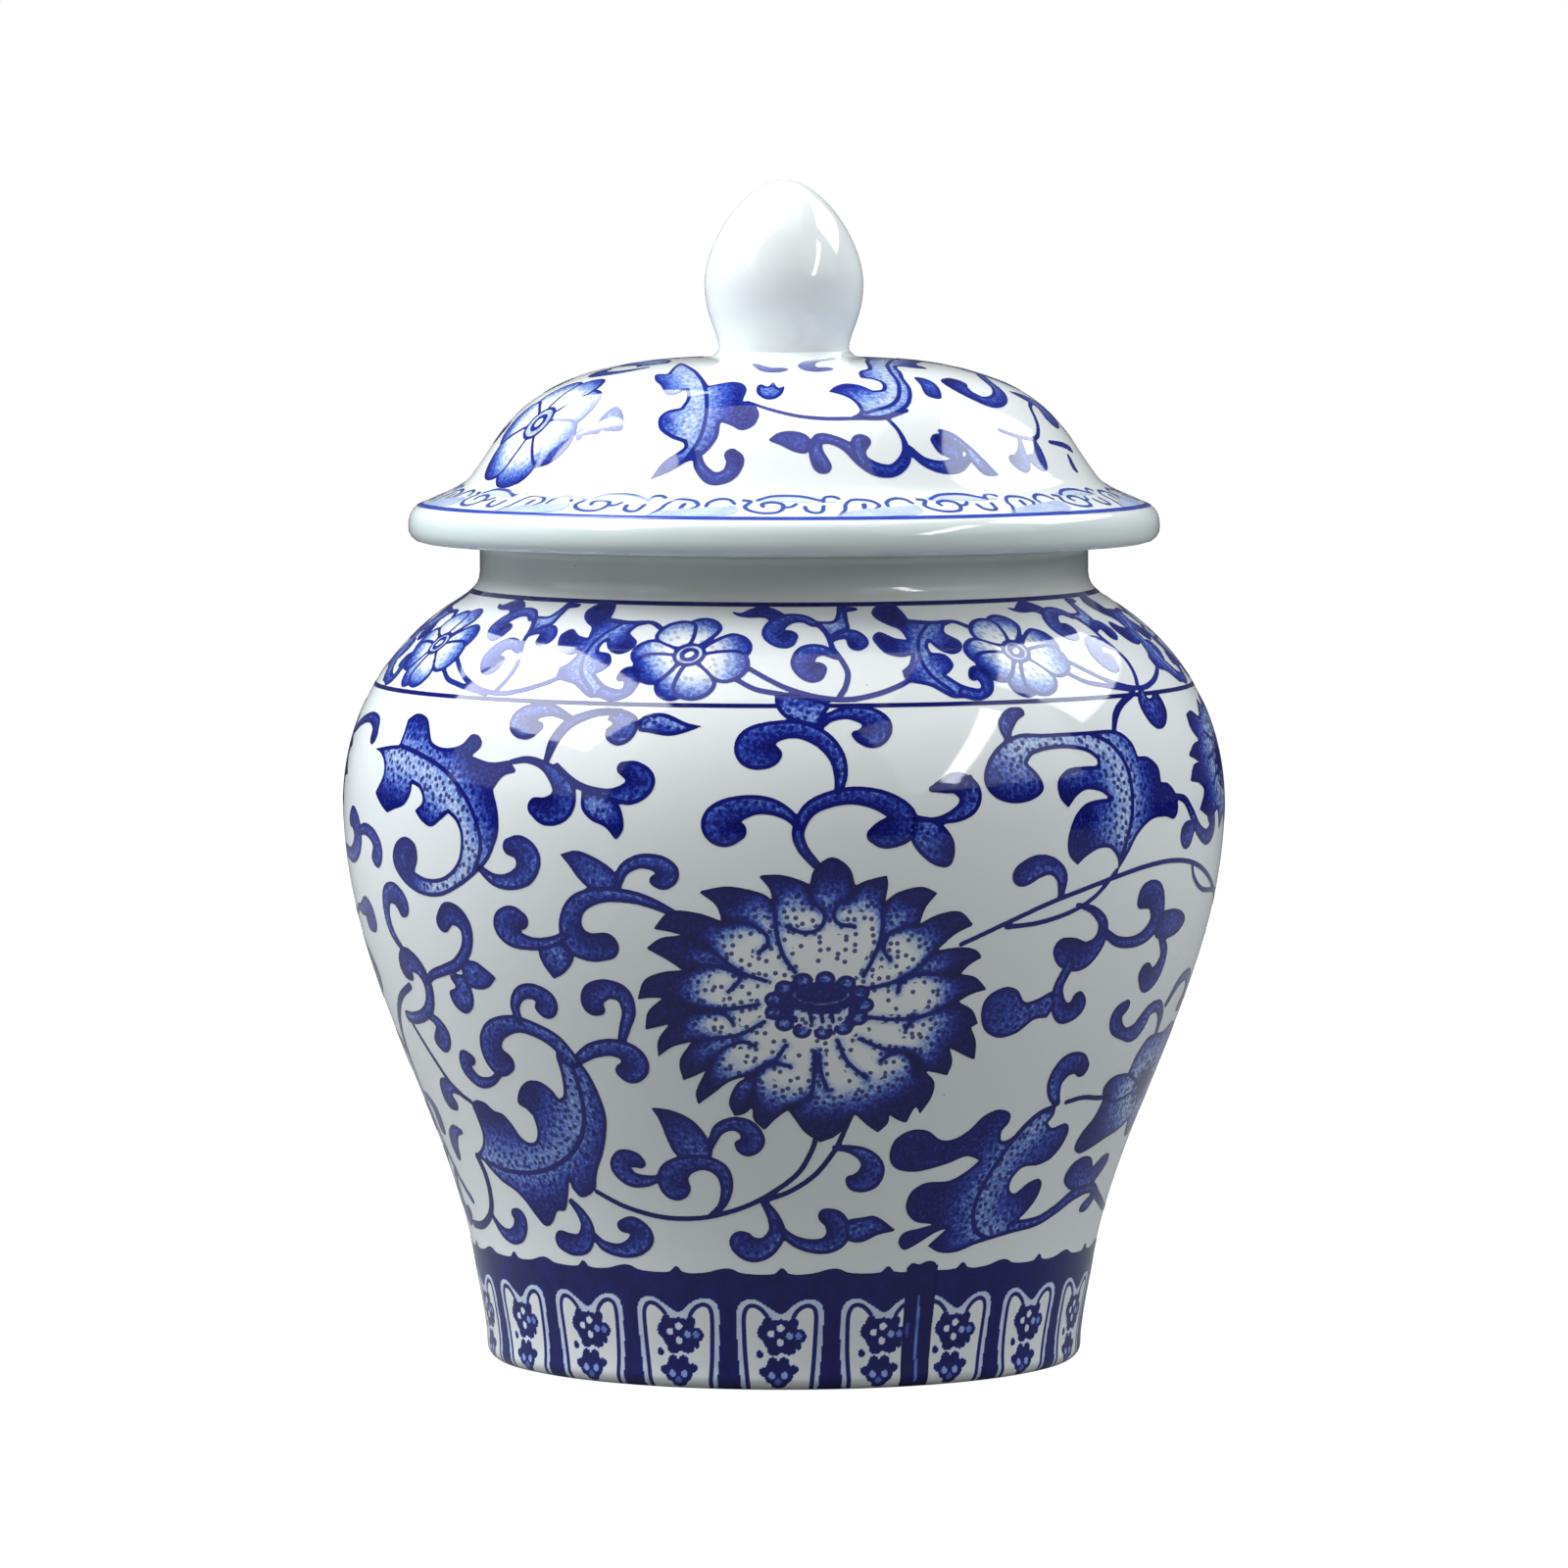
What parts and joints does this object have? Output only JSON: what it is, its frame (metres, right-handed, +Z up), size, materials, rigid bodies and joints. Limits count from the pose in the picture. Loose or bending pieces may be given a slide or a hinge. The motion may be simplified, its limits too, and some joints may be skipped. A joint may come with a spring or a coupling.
{
  "type": "ginger jar",
  "caption": "Round-shouldered porcelain jar on a foot ring with a domed, flanged lid that lifts off by an egg-shaped knob.",
  "frame": {"origin": "middle of the foot ring's face, on the jar's axis, where the jar stands on a table", "axes": "+Z up along the jar's axis; +Y points away from the front, where the lotus is; +X to the viewer's right"},
  "size_m": [0.12, 0.12, 0.16],
  "materials": {
    "jar_glaze": "clear glossy glaze over white porcelain with cobalt blue transfer pattern; foot ring bare",
    "lid_glaze": "clear glossy glaze over white porcelain with cobalt blue transfer pattern; seat and collar bare",
    "knob_glaze": "clear glossy glaze over plain white porcelain"
  },
  "bodies": {
    "jar": {"jar_body": "jar_glaze"},
    "lid": {"lid_shell": "lid_glaze", "lid_knob": "knob_glaze"}
  },
  "joints": [
    {"name": "lid_lift", "type": "slide", "parent": "jar", "child": "lid", "axis": [0, 0, 1], "range_m": [0, 0.06]}
  ]
}
